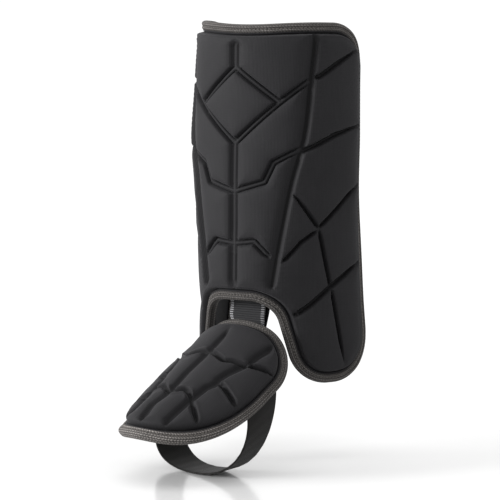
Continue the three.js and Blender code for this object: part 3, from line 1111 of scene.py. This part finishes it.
def quad_faces(grid: Array) -> list[tuple[int, ...]]:
    """The quads between neighbours in a grid of point numbers, row by row."""
    quads = np.stack([grid[:-1, :-1], grid[:-1, 1:], grid[1:, 1:], grid[1:, :-1]], axis=-1)
    return [tuple(quad) for quad in quads.reshape(-1, 4).tolist()]


def wall_faces(ring: Array, across: int) -> list[tuple[int, ...]]:
    """The quads from a closed ring of point numbers to the ring whose numbers are higher by across."""
    after = np.roll(ring, -1)
    return [tuple(quad) for quad in np.stack([ring, ring + across, after + across, after], axis=1).tolist()]


def make_piece(
    name: str, parts: MeshParts, finishes: Sequence[Finish], sharp: float = 50
) -> bpy.types.Object:
    """Makes a mesh object that rides on the frame.

    Args:
        name: The object's name.
        parts: The mesh.
        finishes: Its finishes, by material number.
        sharp: Angle in degrees above which an edge is shaded sharp.

    Returns:
        The object.
    """
    mesh = bpy.data.meshes.new(name)
    mesh.from_pydata(parts.points.tolist(), [], parts.faces)
    flat = mesh.attributes.new(Layer.FLAT.value, "FLOAT_VECTOR", "POINT")
    flat.data.foreach_set("vector", parts.flat.astype(np.float32).ravel())
    # The painted shade mask.
    press = mesh.attributes.new(Layer.PRESS.value, "FLOAT", "POINT")
    press.data.foreach_set("value", parts.press.astype(np.float32))
    for finish in finishes:
        mesh.materials.append(finish.material())
    mesh.polygons.foreach_set("material_index", parts.finishes.astype(np.int32))
    mesh.shade_smooth()
    mesh.set_sharp_from_angle(angle=math.radians(sharp))
    mesh.validate()
    made = bpy.data.objects.new(name, mesh)
    bpy.context.scene.collection.objects.link(made)
    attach(made, BODY)
    LOG.info("%s: %d points, %d faces", name, len(mesh.vertices), len(mesh.polygons))
    return made


def thinned(points: Array, cell: float) -> Array:
    """Points without those that share a small square with an earlier one."""
    squares = np.round(points / cell).astype(np.int64)
    _, kept = np.unique(squares, axis=0, return_index=True)
    return points[np.sort(kept)]


class RimRow(NamedTuple):
    """The most that a pad's face stands up near its rim, at a distance past the tape's inner edge."""

    past_tape: float
    height: float


FLANGE = (RimRow(-6, 4), RimRow(-0.8, 4), RimRow(0.3, 4.9), RimRow(1.1, 5), RimRow(1.7, 4.2))
SHIN_WALL = (RimRow(2.1, 3.6), RimRow(2.6, 4.5), RimRow(3.5, 8.2), RimRow(4.6, 10.2), RimRow(6.2, 10.9))
FOOT_WALL = (RimRow(2.1, 3.8), RimRow(2.5, 4.7), RimRow(3.2, 7.4), RimRow(4.4, 9.4), RimRow(6.4, 10.5))


@dataclass
class PressedPad:
    """A foam pad in knit, pressed into pillows between its lines and thin at its rim."""

    name: str
    node: str
    surface: Surface
    outline: Outline
    net: GrooveNet
    tape: TapeWidth
    rim: tuple[RimRow, ...]
    fill: float = 0.8
    edge_inset: float = 1.9
    lip: float = 10.2
    lip_round: float = 0.9
    lip_run: float = 2.4
    crown: float = 1.0
    crown_run: float = 14.0
    valley: float = 2.1
    valley_half: float = 0.7
    swells: tuple[tuple[float, float, float], ...] = ((0.12, 9.1, 17.3), (0.1, -23.9, 11.7))
    rings: tuple[float, ...] = (
        *(-4, -1.4, -0.4, 0.3, 0.9, 1.4, 1.8, 2.2),
        *(2.6, 3.0, 3.5, 4.1, 4.8, 5.8, 7.4, 9.4),
    )
    beside: tuple[float, ...] = (0, 0.14, 0.26, 0.4, 0.54, 0.66, 0.78, 0.89, 1, 1.15, 1.36, 1.7, 2.2)
    step: float = 2.0
    grid: float = 3.2
    cell: float = 0.45
    merge: float = 1e-5
    sliver: float = 1e-6
    lining_press: float = 0.2

    def flat_points(self) -> tuple[Array, int]:
        """Flat points that are dense where the face bends sharply.

        Returns:
            The points, with the pad's edge first, and how many are on the edge.
        """
        count = round(self.outline.length / self.step)
        edge = self.outline.ring(count, self.edge_inset)
        width = self.tape.at(np.arange(count) / count)
        rings = [self.outline.ring(count, width + past) for past in self.rings]
        lines = self.net.lines([side * share for share in self.beside for side in (-1, 1)])
        low, high = edge.min(0), edge.max(0)
        columns = np.arange(low[0], high[0], self.grid)
        rows = np.arange(low[1], high[1], self.grid * math.sqrt(3) / 2)
        x, y = np.meshgrid(columns, rows)
        x[1::2] += self.grid / 2
        field = np.stack([x.ravel(), y.ravel()], axis=1)
        clear = self.net.sample(field).reach > self.grid
        inside = self.within(np.vstack([lines, field[clear]]), self.rings[-1] + 1)
        rest = thinned(np.vstack([*rings, inside]), self.cell)
        return np.vstack([edge, rest]), count

    def within(self, points: Array, past: float) -> Array:
        """Those points that lie inside the outline, further than a distance past the tape.

        Args:
            points: Flat points.
            past: The distance past the tape's inner edge.

        Returns:
            The points that are kept.
        """
        ring = self.outline.fine
        x, y = points.T[:, :, None]
        crosses = (ring[:, 1] > y) != (np.roll(ring[:, 1], 1) > y)
        before = np.roll(ring, 1, axis=0)
        rise = before[:, 1] - ring[:, 1]
        meets = ring[:, 0] + (y - ring[:, 1]) * (before[:, 0] - ring[:, 0]) / np.where(rise == 0, 1, rise)
        held = (crosses & (x < meets)).sum(1) % 2 == 1
        kept = points[held]
        inside, share = self.outline.nearest(kept)
        return kept[inside - self.tape.at(share) > past]

    def heights(self, points: Array) -> tuple[Array, Array, Array]:
        """The pad's two faces.

        Args:
            points: Flat points.

        Returns:
            Height of the outer face, height of the lining, and the shade painted along the creases and in
            the valley by the tape.
        """
        pressing = self.net.sample(points)
        inside, share = self.outline.nearest(points)
        past_tape = inside - self.tape.at(share)
        past_rims, rim_heights = np.array(self.rim).T
        reach = np.minimum(pressing.reach, np.maximum(past_tape - past_rims[-1], 0))
        rounding = self.lip_round * (1 - np.exp(-reach / self.lip_run))
        crown = self.crown * (1 - np.exp(-reach / self.crown_run))
        face = self.lip + rounding + crown - pressing.depth + pressing.lift + self.unevenness(points)
        rim = SmoothColumn(past_rims, rim_heights)(past_tape)
        face = np.where(past_tape < past_rims[-1], np.minimum(face, rim), face)
        # Painted shade in the valley between the tape and the pillows.
        gutter_shade = np.exp(-(((past_tape - self.valley) / self.valley_half) ** 2))
        return face, self.lining_press * pressing.depth, np.maximum(pressing.shade, gutter_shade)

    def unevenness(self, points: Array) -> Array:
        """Slow swells of the foam, a fraction of a millimetre high."""
        x, y = points.T
        return sum(height * np.sin(x / across + y / up) for height, across, up in self.swells)

    def mesh(self) -> MeshParts:
        """The pad as a closed mesh.

        Returns:
            Both faces and the edge that joins them.
        """
        points, edge_count = self.flat_points()
        ring = np.arange(edge_count)
        made = delaunay_2d_cdt([Vector(p) for p in points], [], [ring.tolist()], 1, self.merge)
        flat = np.array([tuple(p) for p in made[0]])
        corners = np.array(made[2])
        a, b, c = (flat[corners[:, k]] for k in range(3))
        area = np.cross(b - a, c - a)
        corners = np.where(area[:, None] < 0, corners[:, ::-1], corners)
        corners = corners[np.abs(area) > self.sliver]
        face, lining, pressed = self.heights(flat)
        size = len(flat)
        both = np.vstack([np.column_stack([flat, height]) for height in (face, lining)])
        sides = np.vstack([corners, corners[:, ::-1] + size])
        faces = [*map(tuple, sides.tolist()), *wall_faces(ring, size)]
        numbers = np.repeat([0, 1, 0], [len(corners), len(corners), edge_count])
        # Shade is painted on the outer face only.
        painted_shades = np.concatenate([pressed, np.zeros(size)])
        return MeshParts(self.surface.place(both), faces, both * MM, painted_shades, numbers)

    def build(self) -> None:
        """Puts the dressed pad in place of its node."""
        made = make_piece(self.name, self.mesh(), (PadFabric(), PadLining()), sharp=80)
        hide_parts(self.node)


class TapeRow(NamedTuple):
    """One line of the tape's section: inset, height, how far thread pulls it, and how much shade is painted
    on it.
    """

    inset: float
    height: float
    pull: float
    shade: float = 0.0


@dataclass
class EdgeBinding:
    """Woven tape folded over a pad's rim and sewn through with one row of stitches a side."""

    node: str
    surface: Surface
    outline: Outline
    width: TapeWidth
    finish: WovenTape
    # The next two fields paint light and shade: shade near the start of the outline (the shin's arch, the
    # foot's ankle edge), and less of the section's painted shade towards half the way round (the shin's top,
    # the toe), where the light falls.
    start_painted_shade: float
    far_painted_light: float = 0.75
    pitch: float = 3.4
    stations: int = 4
    sway: float = 0.12
    sway_run: float = 13.7
    sway_inset: float = 7.5
    section_width: float = 8.0
    section_round: float = 2.0
    section: tuple[TapeRow, ...] = (
        *(TapeRow(7.9, 4.75, 0, 1), TapeRow(8.05, 5.15, 0, 0.9), TapeRow(7.7, 5.6, 0, 0.3)),
        *(TapeRow(7.1, 6.0, 0.05), TapeRow(6.4, 6.15, 0.1), TapeRow(5.7, 6.0, 0.2, 0.25)),
        *(TapeRow(5.15, 5.3, 0.3, 0.9), TapeRow(4.75, 5.3, 0.3, 0.9), TapeRow(4.2, 6.05, 0.2, 0.25)),
        *(TapeRow(3.5, 6.4, 0.12), TapeRow(2.6, 6.5, 0.08), TapeRow(1.8, 6.25, 0.05)),
        *(TapeRow(1.05, 5.7, 0.04, 0.35), TapeRow(0.4, 4.8, 0.03, 0.75), TapeRow(0.05, 3.4, 0, 0.9)),
        *(TapeRow(0, 1.8, 0, 0.9), TapeRow(0.15, 0.2, 0), TapeRow(0.7, -1.1, -0.03)),
        *(TapeRow(1.7, -1.85, -0.05), TapeRow(2.9, -2.05, -0.08), TapeRow(4.2, -1.9, -0.15)),
        *(TapeRow(4.95, -1.5, -0.25), TapeRow(5.8, -1.85, -0.15), TapeRow(6.9, -1.9, -0.05)),
        *(TapeRow(7.8, -1.5, 0), TapeRow(7.9, -0.75, 0), TapeRow(5.0, -0.72, 0), TapeRow(2.0, -0.7, 0)),
        *(TapeRow(1.3, 0.2, 0), TapeRow(1.25, 3.8, 0), TapeRow(2.0, 4.7, 0), TapeRow(5.0, 4.72, 0)),
    )
    sewn_inset: float = 4.95
    sewn_heights: tuple[float, float] = (5.6, -1.65)
    thread_radius: float = 0.3
    thread_sides: int = 6

    def stitch_count(self) -> int:
        """How many stitches go all round."""
        return round(self.outline.length / self.pitch)

    def widened(self, inset: Array, along: Array) -> Array:
        """Spreads the section over the tape's width, past the fold at its edge.

        Args:
            inset: Insets in the section.
            along: Distances along the outline.

        Returns:
            Insets in the tape.
        """
        share = (inset - self.section_round) / (self.section_width - self.section_round)
        more = self.width.at(along / self.outline.length) - self.section_width
        return inset + more * np.clip(share, 0, None)

    def tape(self) -> MeshParts:
        """The tape as a closed ring.

        Returns:
            The mesh.
        """
        count = self.stitch_count() * self.stations
        size = len(self.section)
        along = np.repeat(np.arange(count) * self.outline.length / count, size)
        inset, height, pull, shade = (np.tile(column, count) for column in np.array(self.section).T)
        phase = along * TURN * self.stitch_count() / self.outline.length
        height = height - pull * (0.5 + 0.5 * np.cos(phase))
        height = height + self.sway * np.sin(along / self.sway_run) * (inset < self.sway_inset)
        flat = np.column_stack([self.outline.at(along, self.widened(inset, along)), height])
        girth = np.tile(distances(np.array(self.section)[:, :2]), count)
        numbers = np.arange(count * size).reshape(count, size)
        faces = quad_faces(np.pad(numbers, ((0, 1), (0, 1)), mode="wrap"))
        weave = MM * np.column_stack([along, girth, height])
        far = far_share(along / self.outline.length)
        # Painted shade: the section's shade, lifted towards half the way round, and shade fading from the
        # start of the outline.
        worn = np.maximum(shade * (1 - self.far_painted_light * far), self.start_painted_shade * (1 - far))
        return MeshParts(self.surface.place(flat), faces, weave, worn, np.zeros(len(faces)))

    def thread(self) -> MeshParts:
        """Every stitch as a short arched thread that dips into the tape at both ends.

        Returns:
            The mesh.
        """
        shares = np.array([0, 0.06, 0.25, 0.5, 0.75, 0.94, 1])
        rises = np.array([-0.35, -0.1, 0.08, 0.14, 0.08, -0.1, -0.35])
        widths = np.array([0.15, 0.75, 1, 1, 1, 0.75, 0.15]) * self.thread_radius
        gap = 0.25
        turns = np.arange(self.thread_sides) * TURN / self.thread_sides
        pitch = self.outline.length / self.stitch_count()
        starts = np.arange(self.stitch_count()) * pitch + gap
        shape = (len(starts), len(shares), self.thread_sides)
        places = starts[:, None] + shares * (pitch - 2 * gap)
        along = np.broadcast_to(places[..., None], shape).ravel()
        over = np.broadcast_to(widths[:, None] * np.cos(turns), shape).ravel()
        lift = np.broadcast_to(rises[:, None] + widths[:, None] * np.sin(turns), shape).ravel()
        placed, weaves = [], []
        for side, height in zip((1, -1), self.sewn_heights):
            at = self.outline.at(along, self.widened(self.sewn_inset + over, along))
            up = height + side * lift
            placed.append(np.column_stack([at, up]))
            weaves.append(np.column_stack([along, over, up]))
        flat = np.vstack(placed)
        outer, inner = np.arange(len(flat)).reshape(len(placed), *shape)
        faces = []
        # The inner stitches mirror the outer ones, so their rings run the other way to face outward
        for rings in (*outer, *inner[..., ::-1]):
            faces += quad_faces(np.pad(rings, ((0, 0), (0, 1)), mode="wrap"))
            faces += [tuple(cap.tolist()) for cap in (rings[0, ::-1], rings[-1])]
        blank, numbers = np.zeros(len(flat)), np.zeros(len(faces))
        return MeshParts(self.surface.place(flat), faces, MM * np.vstack(weaves), blank, numbers)

    def build(self) -> None:
        """Puts the tape in place of its node, and its stitching on it."""
        tape = make_piece(f"{self.node}_tape", self.tape(), (self.finish,), sharp=75)
        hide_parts(self.node)
        thread = make_piece(f"{self.node}_stitching", self.thread(), (SewingThread(),), sharp=80)


def along_rows(rows: Array, step: float) -> Array:
    """Smooth lanes through a few rows of points.

    Args:
        rows: Points by row, lane and axis.
        step: The wanted spacing of the new rows.

    Returns:
        Points by new row, lane and axis.
    """
    places = distances(rows[:, rows.shape[1] // 2])
    where = np.linspace(0, places[-1], round(places[-1] / step) + 1)
    lanes = rows.reshape(len(rows), -1)
    smooth = [SmoothColumn(places, column)(where) for column in lanes.T]
    return np.stack(smooth, axis=1).reshape(len(where), *rows.shape[1:])


def band_mesh(middle: Array, thickness: float, relief: Array) -> MeshParts:
    """A closed band about a grid of middle points.

    Args:
        middle: Points in metres by row, lane and axis.
        thickness: The band's thickness in metres.
        relief: How far each point stands out from both faces, in metres, by row and lane.

    Returns:
        The mesh, with its flat layer across and along the band.
    """
    rows, lanes = middle.shape[:2]
    run = np.gradient(middle, axis=0)
    over = np.gradient(middle, axis=1)
    out = unit(np.cross(over, run))
    half = (thickness / 2 + relief)[..., None]
    points = np.concatenate([(middle + out * half).reshape(-1, 3), (middle - out * half).reshape(-1, 3)])
    size = rows * lanes
    grid = np.arange(size).reshape(rows, lanes)
    ring = np.concatenate([grid[0, :-1], grid[:-1, -1], grid[-1, :0:-1], grid[:0:-1, 0]])
    faces = [*quad_faces(grid), *quad_faces(grid[:, ::-1] + size), *wall_faces(ring, size)]
    centre = middle[:, lanes // 2]
    along = distances(centre)
    across = np.einsum("ijk,ijk->ij", middle - centre[:, None], unit(over))
    flat = np.stack([across, np.broadcast_to(along[:, None], across.shape), np.zeros_like(across)], axis=-1)
    weave = np.concatenate([flat.reshape(-1, 3)] * 2)
    return MeshParts(points, faces, weave, np.zeros(2 * size), np.zeros(len(faces)))


def edge_lanes(count: int) -> Array:
    """Shares across a band from -0.5 to 0.5, closer together near its edges."""
    return 0.5 * np.sin(np.linspace(-math.pi / 2, math.pi / 2, count))


def edge_marks(count: int) -> Array:
    """Which of those shares lie at the band's two edges, where it is thinner."""
    inner_share = 0.49
    return np.abs(edge_lanes(count)) > inner_share


class FreeRow(NamedTuple):
    """A row of the link where it crosses open space, and how far its backing hangs behind."""

    y: float
    z: float
    behind: float


class FootRow(NamedTuple):
    """A row of the link under the foot pad's dome, and how far it and its backing hang below."""

    u: float
    under: float
    behind: float


@dataclass
class AnkleLink:
    """The strips that join the pads: ribbed webbing in front and a plain backing behind it."""

    shin: ShinSurface
    foot: FootSurface
    width: float = 40.0
    webbing: float = 1.5
    backing: float = 1.2
    seat_gap: float = 0.3
    tape_gap: float = 0.7
    tape: float = 1.2
    rib: float = 2.1
    rib_steps: int = 6
    rib_height: float = 0.16
    webbing_thinned: float = 0.4
    backing_thinned: float = 0.3
    backing_step: float = 1.5
    lanes: int = 25
    on_shin: tuple[float, ...] = (-32, -44)
    free: tuple[FreeRow, ...] = (
        FreeRow(4, -58, 1.5),
        FreeRow(8.5, -72, 3.5),
        FreeRow(12, -86, 5),
        FreeRow(13, -97, 5),
        FreeRow(11.5, -107, 4),
    )
    on_foot: tuple[FootRow, ...] = (
        FootRow(-9, 3.5, 2),
        FootRow(3, 0.8, 0.5),
        FootRow(12, 0, 0),
        FootRow(21, 0, 0),
    )

    def rows(self, behind_seat: float, behind_share: float) -> Array:
        """The middle points of one strip.

        Args:
            behind_seat: How far the strip lies behind the webbing at its seats.
            behind_share: The share of the tables' hang that it takes.

        Returns:
            Points in metres by row, lane and axis.
        """
        lanes = edge_lanes(self.lanes) * self.width
        seat = self.seat_gap + self.webbing / 2 + behind_seat
        under = self.tape_gap + self.tape + seat
        ones = np.ones_like(lanes)
        rows = [self.shin.place(np.column_stack([lanes, z * ones, -seat * ones])) for z in self.on_shin]
        for row in self.free:
            y = row.y + behind_seat + row.behind * behind_share
            rows.append(MM * np.column_stack([lanes, y * ones, row.z * ones]))
        for row in self.on_foot:
            depth = under + row.under + row.behind * behind_share
            rows.append(self.foot.place(np.column_stack([lanes, -row.u * ones, -depth * ones])))
        return np.stack(rows)

    def build(self) -> None:
        """Puts both strips in place of their nodes."""
        edge = edge_marks(self.lanes)
        webbing = along_rows(self.rows(0, 0), self.rib * MM / self.rib_steps)
        ribs = np.sin(np.arange(len(webbing)) * TURN / self.rib_steps)[:, None]
        relief = MM * (self.rib_height * ribs - self.webbing_thinned * edge)
        finish = RibbedWebbing(half_width=self.width / 2 * MM, rib=self.rib * MM)
        ribbed = make_piece("link_webbing_ribbed", band_mesh(webbing, self.webbing * MM, relief), (finish,))
        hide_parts("link_webbing")
        behind = self.webbing / 2 + self.tape_gap + self.backing / 2
        backing = along_rows(self.rows(behind, 1), self.backing_step * MM)
        thinned_edges = np.tile(-self.backing_thinned * MM * edge, (len(backing), 1))
        cloth = PlainWeave(
            "backing_cloth",
            dark=(0.006, 0.006, 0.0065),
            light=(0.016, 0.016, 0.017),
            across_pitch=0.0015,
            along_pitch=0.0015,
        )
        strip = band_mesh(backing, self.backing * MM, thinned_edges)
        plain = make_piece("link_backing_strip", strip, (cloth,))
        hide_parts("link_backing")


@dataclass
class SoleStrap:
    """A wide elastic band from inside one rim of the foot pad, under the sole, to inside the other."""

    foot: FootSurface
    thickness: float = 1.6
    width_at_rim: float = 43.0
    width_at_sole: float = 33.0
    rim_u: float = 56.0
    tuck_v: float = 53.0
    leave_v: float = 68.0
    hang: float = 0.8
    sole_forward: float = 46.5
    sole_z: float = -242.0
    rim_handle: float = 10.0
    sole_handle: float = 70.0
    under: float = 3.0
    lanes: int = 21
    tuck_steps: int = 8
    steps: int = 70
    row_step: float = 1.6
    ripple: float = 0.08
    ripple_turn: float = 0.9
    edge_thinned: float = 0.45

    def half_rows(self, side: int) -> Array:
        """The middle points from inside one rim to the middle of the sole.

        Args:
            side: 1 for the right rim, -1 for the left.

        Returns:
            Points in metres by row, lane and axis.
        """
        lanes = edge_lanes(self.lanes)
        ones = np.ones_like(lanes)
        u = self.rim_u + lanes * self.width_at_rim

        def on_dome(v: float) -> Array:
            """A row of points under the dome at one distance from its centre line."""
            return self.foot.place(np.column_stack([side * v * ones, -u, -self.under * ones]))

        inside = np.linspace(self.tuck_v, self.leave_v, self.tuck_steps, endpoint=False)
        tucked = [on_dome(v) for v in inside]
        rim = on_dome(self.leave_v)
        down = unit(rim - on_dome(self.leave_v - 1)) * (1 - self.hang) - self.foot.up * self.hang
        middle = self.foot.start * (1, 1, 0) + self.foot.up * (self.sole_z + self.thickness / 2)
        ahead = self.sole_forward + lanes * self.width_at_sole
        sole = MM * (middle + np.outer(ahead, self.foot.ahead))
        handles = (
            rim,
            rim + unit(down) * self.rim_handle * MM,
            sole + side * self.foot.right * self.sole_handle * MM,
            sole,
        )
        k = np.linspace(0, 1, self.steps)[:, None, None]
        weights = ((1 - k) ** 3, 3 * k * (1 - k) ** 2, 3 * k**2 * (1 - k), k**3)
        return np.concatenate([np.stack(tucked), sum(w * handle for w, handle in zip(weights, handles))])

    def build(self) -> None:
        """Puts the strap in place of its node."""
        middle = np.concatenate([self.half_rows(1), self.half_rows(-1)[-2::-1]])
        middle = along_rows(middle[::2], self.row_step * MM)
        edge = edge_marks(self.lanes)
        ripples = self.ripple * np.sin(np.arange(len(middle))[:, None] * self.ripple_turn) * (~edge)
        elastic = PlainWeave(
            "strap_elastic",
            dark=(0.006, 0.0057, 0.0054),
            light=(0.013, 0.0123, 0.0117),
            across_pitch=0.0016,
            along_pitch=0.0011,
        )
        band = band_mesh(middle, self.thickness * MM, MM * (ripples - self.edge_thinned * edge))
        made = make_piece("foot_strap_elastic", band, (elastic,))
        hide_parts("foot_strap")


# Studio


@dataclass(frozen=True)
class BroadLight:
    """A broad far light: where it stands from the guard, its strength, and its width in degrees."""

    name: str
    stands: tuple[float, float, float]
    strength: float
    width: float

    def build(self) -> None:
        """Hangs the light."""
        lamp = bpy.data.lights.new(self.name, "SUN")
        lamp.energy = self.strength
        lamp.angle = math.radians(self.width)
        made = bpy.data.objects.new(self.name, lamp)
        made.location = self.stands
        made.rotation_euler = Vector(self.stands).to_track_quat("Z", "Y").to_euler()
        bpy.context.scene.collection.objects.link(made)


@dataclass
class Studio:
    """White floor and surround, broad lights, and the camera at the photograph's angle."""

    target: tuple[float, float, float] = (0.0116, 0.0, -0.04416)
    azimuth: float = math.radians(36)
    elevation: float = math.radians(4.15)
    distance: float = 1.4
    metres_per_pixel: float = 0.00092
    image_pixels: int = 500
    sensor: float = 36.0
    floor_half: float = 12.0
    floor_gap: float = 0.0005
    surround: float = 1.06
    lights: tuple[BroadLight, ...] = (
        BroadLight("key_light", (-1.3, -1.42, 0.46), 4.0, 20),
        BroadLight("top_light", (-0.2, -0.3, 1.9), 0.7, 40),
    )

    def camera(self) -> None:
        """Sets up the scene's camera."""
        level = math.cos(self.elevation)
        across, ahead = math.sin(self.azimuth) * level, -math.cos(self.azimuth) * level
        back = Vector((across, ahead, math.sin(self.elevation)))
        data = bpy.data.cameras.new("photo_camera")
        data.sensor_width = self.sensor
        data.lens = self.sensor * self.distance / (self.metres_per_pixel * self.image_pixels)
        made = bpy.data.objects.new("photo_camera", data)
        made.location = Vector(self.target) + back * self.distance
        made.rotation_euler = (-back).to_track_quat("-Z", "Y").to_euler()
        bpy.context.scene.collection.objects.link(made)
        bpy.context.scene.camera = made

    def floor(self, height: float) -> None:
        """Lays the floor under the strap.

        Args:
            height: Where the guard's lowest point is.
        """
        half, z = self.floor_half, height - self.floor_gap
        mesh = bpy.data.meshes.new("studio_floor")
        corners = [(-half, -half, z), (half, -half, z), (half, half, z), (-half, half, z)]
        mesh.from_pydata(corners, [], [(0, 1, 2, 3)])
        mesh.materials.append(FloorPaint().material())
        made = bpy.data.objects.new("studio_floor", mesh)
        bpy.context.scene.collection.objects.link(made)
        made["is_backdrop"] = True

    def build(self, lowest: float) -> None:
        """Sets up the whole studio.

        Args:
            lowest: Where the guard's lowest point is.
        """
        self.camera()
        self.floor(lowest)
        for light in self.lights:
            light.build()
        world = bpy.data.worlds.new("studio_surround")
        world.use_nodes = True
        background = world.node_tree.nodes["Background"]
        background.inputs["Color"].default_value = (1, 1, 1, 1)
        background.inputs["Strength"].default_value = self.surround
        bpy.context.scene.world = world
        bpy.context.scene.view_settings.view_transform = "Standard"


def main() -> None:
    """Builds the guard piece by piece, then the studio round it."""
    logging.basicConfig(level=logging.INFO, format="%(name)s %(message)s")
    shin, foot = ShinSurface(), FootSurface()
    shin_edge, foot_edge = shin_outline(), foot_outline()
    shin_net, foot_net = GrooveNet(shin_grooves(shin)), GrooveNet(foot_grooves())
    shin_tape, foot_tape = TapeWidth(start=8, far=8), TapeWidth(start=7, far=8.8)
    # The foot's tape is a lighter copy of the shin's, standing in for the stronger light on the toe.
    shin_weave = WovenTape("shin_tape", light=(0.095, 0.0885, 0.0845), fleck=(0.16, 0.149, 0.1425))
    lit_foot_weave = WovenTape("foot_tape", light=(0.15, 0.139, 0.132), fleck=(0.32, 0.297, 0.283))
    shin_rim, foot_rim = (*FLANGE, *SHIN_WALL), (*FLANGE, *FOOT_WALL)
    PressedPad("shin_pad_cover", "shin_pad", shin, shin_edge, shin_net, shin_tape, shin_rim).build()
    EdgeBinding("shin_binding", shin, shin_edge, shin_tape, shin_weave, start_painted_shade=0.3).build()
    PressedPad("foot_pad_cover", "foot_pad", foot, foot_edge, foot_net, foot_tape, foot_rim).build()
    EdgeBinding("foot_binding", foot, foot_edge, foot_tape, lit_foot_weave, start_painted_shade=0.75).build()
    AnkleLink(shin, foot).build()
    SoleStrap(foot).build()
    Studio().build(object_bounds()[0].z)


if __name__ == "__main__":
    main()
